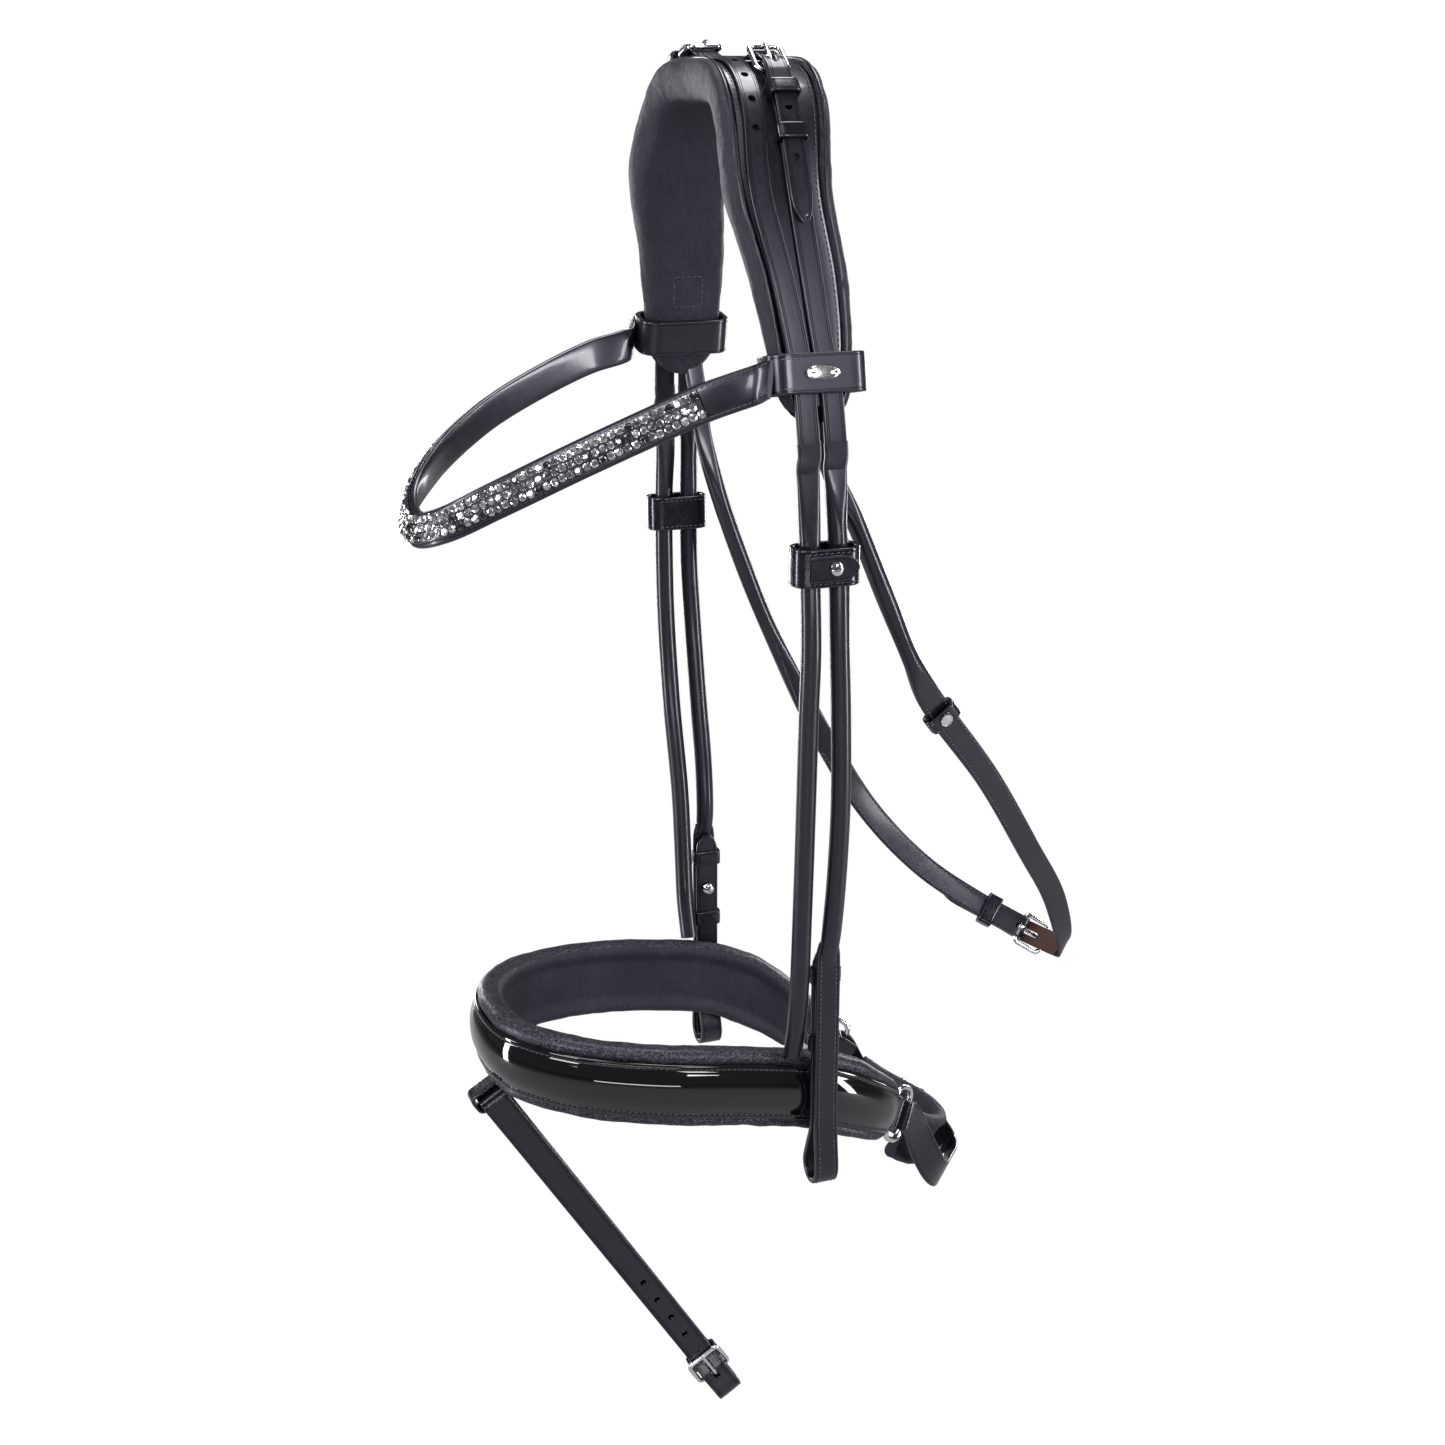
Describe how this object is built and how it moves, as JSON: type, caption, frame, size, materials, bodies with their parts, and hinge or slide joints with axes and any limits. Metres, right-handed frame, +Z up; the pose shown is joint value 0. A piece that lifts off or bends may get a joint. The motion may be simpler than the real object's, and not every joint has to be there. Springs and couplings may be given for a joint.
{
  "type": "snaffle bridle",
  "caption": "Black leather snaffle bridle with a padded headpiece, crystal-set browband, patent noseband on rolled straps, throatlatch and flash strap.",
  "frame": {"origin": "underside of the headpiece pad at the crown, where the bridle rests on the horse's poll", "axes": "+Z up towards the crown, -Y towards the horse's nose, +X the horse's left side"},
  "size_m": [0.215, 0.3569, 0.72],
  "materials": {
    "leather": "black satin bridle leather with a fine grain",
    "padding": "soft grained leather over foam, matte charcoal",
    "patent": "mirror-gloss black patent leather",
    "steel": "polished silver plating",
    "crystal": "clear and smoke-grey faceted crystals in silver settings"
  },
  "bodies": {
    "headpiece": {"headpiece_pad": "padding", "headpiece_bed": "leather", "noseband_strap_right": "leather", "noseband_billet_left": "leather", "cheek_strap_left": "leather", "cheek_billet_right": "leather", "poll_buckle_noseband": "steel", "poll_buckle_cheek": "steel", "poll_keeper_noseband_1": "leather", "poll_keeper_noseband_2": "leather", "poll_keeper_cheek_1": "leather", "poll_keeper_cheek_2": "leather"},
    "browband": {"browband_backing": "padding", "browband_crystals": "crystal", "browband_loop_left": "leather", "browband_loop_right": "leather", "browband_badge": "steel"},
    "noseband": {"noseband_lining": "padding", "noseband_patent": "patent", "noseband_hanger_left": "leather", "noseband_hanger_right": "leather", "noseband_chape_left": "leather", "noseband_chape_right": "leather", "flash_loop": "leather", "chin_pad": "padding", "chin_chape": "leather", "chin_strap": "leather", "chin_buckle": "steel"},
    "ring_left": {"noseband_ring_left": "steel"},
    "ring_right": {"noseband_ring_right": "steel"},
    "cheek_left": {"cheekpiece_left": "leather", "hook_stud_left": "steel", "billet_keeper_left_1": "leather", "billet_keeper_left_2": "leather"},
    "cheek_right": {"cheekpiece_right": "leather", "hook_stud_right": "steel", "billet_keeper_right_1": "leather", "billet_keeper_right_2": "leather"},
    "keeper_left": {"cheek_keeper_left": "leather", "cheek_keeper_stud_left": "steel"},
    "keeper_right": {"cheek_keeper_right": "leather", "cheek_keeper_stud_right": "steel"},
    "throatlatch": {"throatlatch_left": "leather", "throatlatch_right": "leather", "throatlatch_buckle": "steel", "throatlatch_keeper": "leather"},
    "throat_runner": {"throatlatch_runner": "leather", "throatlatch_badge": "steel"},
    "flash": {"flash_strap": "leather", "flash_buckle": "steel", "flash_keeper": "leather"},
    "tongue_poll_noseband": {"poll_tongue_noseband": "steel"},
    "tongue_poll_cheek": {"poll_tongue_cheek": "steel"},
    "tongue_throatlatch": {"throatlatch_tongue": "steel"},
    "tongue_flash": {"flash_tongue": "steel"},
    "tongue_chin": {"chin_tongue": "steel"}
  },
  "joints": [
    {"name": "browband_tilt", "type": "hinge", "parent": "headpiece", "child": "browband", "pos_m": [0, -0.0026, -0.113], "axis": [1, 0, 0], "range_deg": [-1.5, 3]},
    {"name": "noseband_swing", "type": "hinge", "parent": "headpiece", "child": "noseband", "pos_m": [0, -0.002, -0.15], "axis": [1, 0, 0], "range_deg": [-12, 12]},
    {"name": "left_cheek_swing", "type": "hinge", "parent": "headpiece", "child": "cheek_left", "pos_m": [0.0974, -0.002, -0.15], "axis": [1, 0, 0], "range_deg": [-12, 12]},
    {"name": "right_cheek_swing", "type": "hinge", "parent": "headpiece", "child": "cheek_right", "pos_m": [-0.0974, -0.002, -0.15], "axis": [1, 0, 0], "range_deg": [-12, 12]},
    {"name": "left_keeper_slide", "type": "slide", "parent": "noseband", "child": "keeper_left", "axis": [-0.02, 0.03, -0.9993], "range_m": [-0.004, 0.012]},
    {"name": "right_keeper_slide", "type": "slide", "parent": "noseband", "child": "keeper_right", "axis": [0.02, -0.045, -0.9988], "range_m": [-0.004, 0.012]},
    {"name": "left_ring_turn", "type": "hinge", "parent": "noseband", "child": "ring_left", "pos_m": [0.05053, 0.06344, -0.50313], "axis": [-0.2725, 0.4278, 0.8618], "range_deg": [-3, 3]},
    {"name": "right_ring_turn", "type": "hinge", "parent": "noseband", "child": "ring_right", "pos_m": [-0.05053, 0.06344, -0.50313], "axis": [0.2725, 0.4278, 0.8618], "range_deg": [-3, 3]},
    {"name": "throatlatch_swing", "type": "hinge", "parent": "headpiece", "child": "throatlatch", "pos_m": [0, 0.006, -0.147], "axis": [1, 0, 0], "range_deg": [-10, 25]},
    {"name": "throat_runner_slide", "type": "slide", "parent": "throatlatch", "child": "throat_runner", "axis": [-0.3502, 0.6104, -0.7105], "range_m": [-0.006, 0.006]},
    {"name": "flash_swing", "type": "hinge", "parent": "noseband", "child": "flash", "pos_m": [0, -0.1382, -0.4796], "axis": [1, 0, 0], "range_deg": [-12, 12]},
    {"name": "poll_noseband_tongue", "type": "hinge", "parent": "headpiece", "child": "tongue_poll_noseband", "pos_m": [-0.02237, -0.01729, 0.02069], "axis": [0, -1, 0], "range_deg": [0, 35]},
    {"name": "poll_cheek_tongue", "type": "hinge", "parent": "headpiece", "child": "tongue_poll_cheek", "pos_m": [0.04263, -0.00421, 0.01412], "axis": [0, 1, 0], "range_deg": [0, 35]},
    {"name": "throatlatch_tongue_turn", "type": "hinge", "parent": "throatlatch", "child": "tongue_throatlatch", "pos_m": [-0.00732, 0.16743, -0.43765], "axis": [-0.2468, 0.6006, 0.7606], "range_deg": [0, 35]},
    {"name": "flash_tongue_turn", "type": "hinge", "parent": "flash", "child": "tongue_flash", "pos_m": [0.0034, -0.01789, -0.6721], "axis": [0, 0.848, 0.53], "range_deg": [0, 35]},
    {"name": "chin_tongue_turn", "type": "hinge", "parent": "noseband", "child": "tongue_chin", "pos_m": [-0.03336, 0.10497, -0.54242], "axis": [-0.0497, 0.4702, 0.8811], "range_deg": [0, 35]}
  ],
  "couplings": [
    {"joint": "left_cheek_swing", "follows": "noseband_swing", "ratio": 1},
    {"joint": "right_cheek_swing", "follows": "noseband_swing", "ratio": 1}
  ]
}
